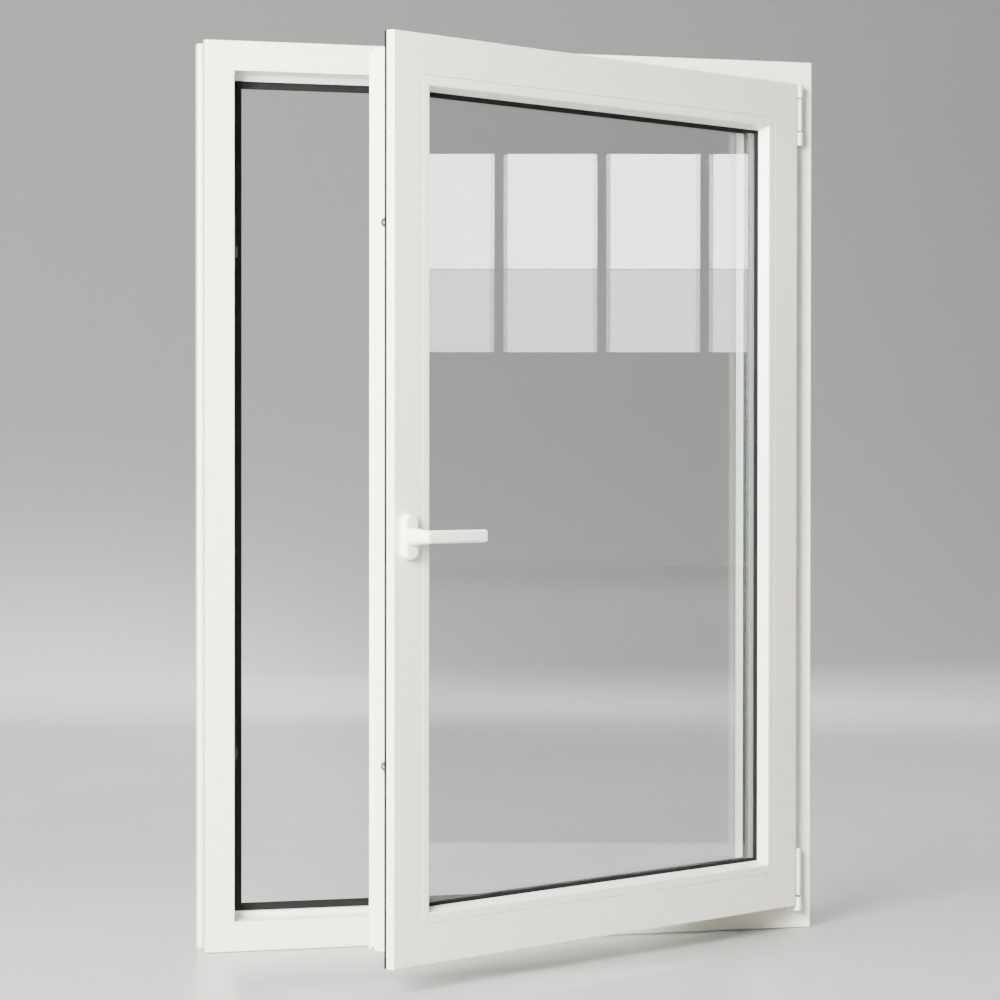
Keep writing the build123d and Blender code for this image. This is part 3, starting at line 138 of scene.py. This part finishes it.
def plated_steel(name, base, rough=0.32, brush=(1.0, 1.0, 1.0), turn=(0, 0, 0)):
    """Bright plated steel with faint drawing marks."""
    skin = Finish(name, base, rough, metal=1.0)
    skin.soft_edges(0.00025)
    skin.colour(skin.noise(26.0, 4.0), 0.07, (1.0, 1.0, 0.8))
    marks = skin.noise(700.0, 3.0, skin.stretched(brush, turn))
    skin.roughness(marks, 0.09)
    skin.bump(marks, 0.000015, 0.6)
    return skin.material


def blackened(name, base):
    """Dull black coat on cast metal."""
    skin = Finish(name, base, 0.62, specular=0.15)
    skin.soft_edges(0.0003)
    skin.colour(skin.noise(80.0, 3.0), 0.15)
    skin.roughness(skin.noise(120.0, 3.0), 0.1)
    skin.bump(skin.noise(1100.0, 2.0), 0.00002, 0.6)
    return skin.material


def galvanised(name, base):
    """Hot-dipped sheet steel with its spangle."""
    skin = Finish(name, base, 0.42, metal=1.0)
    cells = skin.add("ShaderNodeTexVoronoi")
    cells.inputs["Scale"].default_value = 130.0
    skin.link(skin.place, cells.inputs["Vector"])
    split = skin.add("ShaderNodeSeparateColor")
    skin.link(cells.outputs["Color"], split.inputs["Color"])
    skin.soft_edges(0.0003)
    skin.colour(split.outputs["Red"], 0.12)
    skin.roughness(split.outputs["Green"], 0.12)
    skin.bump(skin.noise(320.0, 3.0), 0.00002, 0.5)
    return skin.material


def coated_handle(name, base):
    """Powder-coated metal with a fine orange peel."""
    skin = Finish(name, base, 0.34, coat=0.2, coat_rough=0.2)
    skin.soft_edges(0.0004)
    skin.colour(skin.noise(30.0, 3.0), 0.012, (1.0, 1.0, 1.3))
    skin.roughness(skin.noise(240.0, 3.0), 0.06)
    skin.bump(skin.noise(1500.0, 2.0), 0.00002, 0.7)
    return skin.material


def spacer_metal(name, base):
    """Rolled aluminium with faint upright marks."""
    skin = Finish(name, base, 0.36, metal=1.0)
    skin.colour(skin.noise(45.0, 3.0), 0.06)
    marks = skin.noise(800.0, 2.0, skin.stretched((1.0, 1.0, 0.05)))
    skin.roughness(marks, 0.08)
    skin.bump(marks, 0.00001, 0.5)
    return skin.material


def window_glass(name, tint):
    """Float glass. Lamps shine through it, so what stands behind it stays lit."""
    skin = Finish(name, tint, 0.0)
    skin.shader.inputs["Transmission Weight"].default_value = 1.0
    skin.shader.inputs["IOR"].default_value = 1.5
    skin.shader.inputs["Roughness"].default_value = 0.0
    skin.shader.inputs["Base Color"].default_value = (*tint, 1)
    skin.bump(skin.noise(2.6, 1.0), 0.00003, 0.35)
    clear = skin.add("ShaderNodeBsdfTransparent")
    clear.inputs["Color"].default_value = (*tint, 1)
    mix = skin.add("ShaderNodeMixShader")
    skin.link(skin.add("ShaderNodeLightPath").outputs["Is Shadow Ray"], mix.inputs["Fac"])
    skin.link(skin.shader.outputs["BSDF"], mix.inputs[1])
    skin.link(clear.outputs["BSDF"], mix.inputs[2])
    skin.link(mix.outputs["Shader"], skin.output.inputs["Surface"])
    return skin.material


WHITE = (0.885, 0.87, 0.755)
finishes = {
    "profile_white": moulded_plastic("white_profile", WHITE),
    "cap_white": moulded_plastic("white_cap", (0.9, 0.89, 0.81), rough=0.36, grain=2200.0, edge=0.0003),
    "handle_white": coated_handle("white_handle", (0.95, 0.94, 0.87)),
    "seal_black": rubber_seal("black_seal", (0.011, 0.011, 0.0115)),
    "edge_sealant": rubber_seal("edge_sealant", (0.03, 0.03, 0.032)),
    "reinforcement": galvanised("galvanised_steel", (0.55, 0.56, 0.57)),
    "hardware_silver": plated_steel("plated_hardware", (0.66, 0.67, 0.68), 0.3, (1.0, 1.0, 0.04)),
    "screw_steel": plated_steel("plated_screws", (0.6, 0.6, 0.59), 0.28),
    # The spacer's blue-grey, dim base colour is painted: a painted reflection gives the blue tint and
    # painted shade gives the dimness.
    "spacer_metal": spacer_metal("spacer_aluminium_painted_reflection", (0.5, 0.56, 0.63)),
    "base_plastic": moulded_plastic("handle_base_plastic", (0.3, 0.3, 0.31), rough=0.5, grain=900.0),
    "striker_black": blackened("blackened_steel", (0.012, 0.012, 0.012)),
    "block_plastic": moulded_plastic("block_plastic", (0.05, 0.13, 0.32), rough=0.5, grain=900.0),
    "glass_clear": window_glass("window_glass", (0.9, 0.92, 0.907)),
}
for part in frame["record"]["subparts"]:
    piece = nodes[part["node"]]
    for slot in piece.material_slots:
        slot.material = finishes[part["material_slot"]]


# ---------------------------------------------------------------- studio
def studio_skin(name, base, rough, coat=0.0):
    skin = Finish(name, base, rough, coat=coat, coat_rough=0.12)
    skin.colour(skin.noise(0.7, 2.0), 0.01)
    skin.roughness(skin.noise(3.0, 3.0), 0.03)
    return skin.material


FLOOR_DROP = 0.0004
CURVE_STEPS = 24


def sweep(width, front, back, radius, tall):
    """A pale floor, a hair below the window's feet, that runs up into the wall behind in one curve."""
    bm = bmesh.new()
    start = bm.verts.new((-width / 2, front, 0))
    end = bm.verts.new((width / 2, front, 0))
    bent = [bm.edges.new((start, end))]

    def draw_out(edges, shift):
        made = bmesh.ops.extrude_edge_only(bm, edges=edges)["geom"]
        moved = [g for g in made if isinstance(g, bmesh.types.BMVert)]
        bmesh.ops.translate(bm, verts=moved, vec=shift)
        return [g for g in made if isinstance(g, bmesh.types.BMEdge) and len(g.link_faces) == 1]

    bent = draw_out(bent, (0, back - front, 0))
    for step in range(CURVE_STEPS):
        a, b = step / CURVE_STEPS * pi / 2, (step + 1) / CURVE_STEPS * pi / 2
        bent = draw_out(bent, (0, radius * (sin(b) - sin(a)), radius * (cos(a) - cos(b))))
    draw_out(bent, (0, 0, tall))
    for face in bm.faces:
        face.smooth = True
    bmesh.ops.translate(bm, verts=bm.verts, vec=(0, 0, -FLOOR_DROP))
    mesh = bpy.data.meshes.new("studio_sweep")
    bm.to_mesh(mesh)
    bm.free()
    return mesh


floor = bpy.data.objects.new("studio_sweep", sweep(40.0, -9.0, 6.5, 3.0, 9.0))
bpy.context.collection.objects.link(floor)
floor.data.materials.append(studio_skin("studio_paint", (0.375, 0.375, 0.371), 0.36, 0.1))


# The pale paper ends to the right of the window. Beyond it the studio's dark floor shows in the glass.
PAPER_EDGE = Vector((1.54, -0.655, 0.0))
ALONG_EDGE = Vector((0.206, 0.978, 0.0))
EDGE_NEAR, EDGE_FAR = 7.4, 1.7
DARK_WIDE = 17.5
DARK_RISE = 0.0006
bm = bmesh.new()
near = bm.verts.new(PAPER_EDGE - ALONG_EDGE * EDGE_NEAR)
far = bm.verts.new(PAPER_EDGE + ALONG_EDGE * EDGE_FAR)
drawn = bmesh.ops.extrude_edge_only(bm, edges=[bm.edges.new((near, far))])["geom"]
bmesh.ops.translate(bm, verts=[g for g in drawn if isinstance(g, bmesh.types.BMVert)], vec=(DARK_WIDE, 0, 0))
bmesh.ops.translate(bm, verts=bm.verts, vec=(0, 0, DARK_RISE))
bmesh.ops.recalc_face_normals(bm, faces=bm.faces)
bare = bpy.data.meshes.new("dark_floor")
bm.to_mesh(bare)
bm.free()
dark_floor = bpy.data.objects.new("dark_floor", bare)
bpy.context.collection.objects.link(dark_floor)
bare.materials.append(studio_skin("dark_floor", (0.06, 0.06, 0.058), 0.6))


def lamp(name, place, target, size, power, colour=(1, 1, 1), tall=None):
    """An area lamp that the camera doesn't see. Only the studio window's lights show through glass."""
    light = bpy.data.lights.new(name, "AREA")
    light.shape = "RECTANGLE"
    light.size = size
    light.size_y = tall or size
    light.energy = power
    light.color = colour
    item = bpy.data.objects.new(name, light)
    item.location = place
    item.rotation_euler = (Vector(target) - Vector(place)).to_track_quat("-Z", "Y").to_euler()
    item.visible_camera = False
    item.visible_transmission = name.startswith("window")
    bpy.context.collection.objects.link(item)
    return item


lamp("key", (-2.2, -2.6, 1.7), (0.0, -0.2, 0.75), 1.5, 690, (1.0, 0.99, 0.955))
lamp("fill", (-1.4, -5.2, 2.2), (0.1, -0.2, 0.7), 2.4, 45, (1.0, 0.995, 0.975))
lamp("top", (0.0, 1.6, 4.2), (0.0, 1.6, 0.0), 5.0, 265)
lamp("wall", (0.0, 4.6, 1.6), (0.0, 8.6, 0.4), 12.0, 310, tall=0.6)
# two soft pools of light on the floor behind the window
pools = [
    lamp("pool_far", (0.5, 6.4, 1.0), (0.5, 6.4, 0.0), 1.7, 50, tall=1.7),
    lamp("pool_near", (2.1, 4.3, 0.9), (2.1, 4.3, 0.0), 2.8, 50, tall=0.9),
]
pools[0].rotation_euler = (0, 0, 0)
pools[1].rotation_euler = (0, 0, radians(-25.0))

# A glazed studio window to the right of the camera: the sash's glass mirrors its lights.
WINDOW_GLOW = 62.0
LIGHTS_MIDDLE = Vector((16.436, -3.784, 0.0))
LIGHTS_FACE = Vector((-0.975, 0.221, 0.0))
ACROSS = Vector((0.221, 0.975, 0.0))
PANES = 6
PANE_STEP = 0.674
BAR_WIDE = 0.088
ROW_SHIFT = 0.335
# bottom, top and share of the glow of each row of panes
ROWS = (("low", 1.465, 2.005, 0.34), ("high", 2.01, 2.76, 1.2))
for column in range(PANES):
    middle = LIGHTS_MIDDLE + ACROSS * (ROW_SHIFT + (column - (PANES - 1) / 2) * PANE_STEP)
    for name, low, high, glow in ROWS:
        spot = middle + Vector((0, 0, (low + high) / 2))
        lamp(
            f"window_light_{column}_{name}",
            spot,
            spot + LIGHTS_FACE,
            PANE_STEP - BAR_WIDE,
            WINDOW_GLOW * glow * (PANE_STEP - BAR_WIDE) * (high - low),
            (0.93, 0.97, 1.0),
            tall=high - low,
        )

world = bpy.data.worlds.new("studio")
bpy.context.scene.world = world
world.use_nodes = True
sky = next(n for n in world.node_tree.nodes if n.type == "BACKGROUND")
sky.inputs["Color"].default_value = (0.97, 0.985, 1.0, 1)
sky.inputs["Strength"].default_value = 0.24

# ---------------------------------------------------------------- camera
view = bpy.data.cameras.new("camera")
view.lens = 119.66
view.sensor_width = 36.0
view.clip_end = 100.0
camera = bpy.data.objects.new("camera", view)
EYE = (-1.5761, -5.0301, 0.7570)
YAW, PITCH, ROLL = radians(17.223), radians(-0.689), radians(0.051)
ahead = Vector((sin(YAW) * cos(PITCH), cos(YAW) * cos(PITCH), sin(PITCH)))
level = Vector((cos(YAW), -sin(YAW), 0))
lift = level.cross(ahead)
right = level * cos(ROLL) + lift * sin(ROLL)
above = lift * cos(ROLL) - level * sin(ROLL)
turn = Matrix((right, above, -ahead)).transposed()
camera.matrix_world = Matrix.Translation(EYE) @ turn.to_4x4()
bpy.context.collection.objects.link(camera)
bpy.context.scene.camera = camera
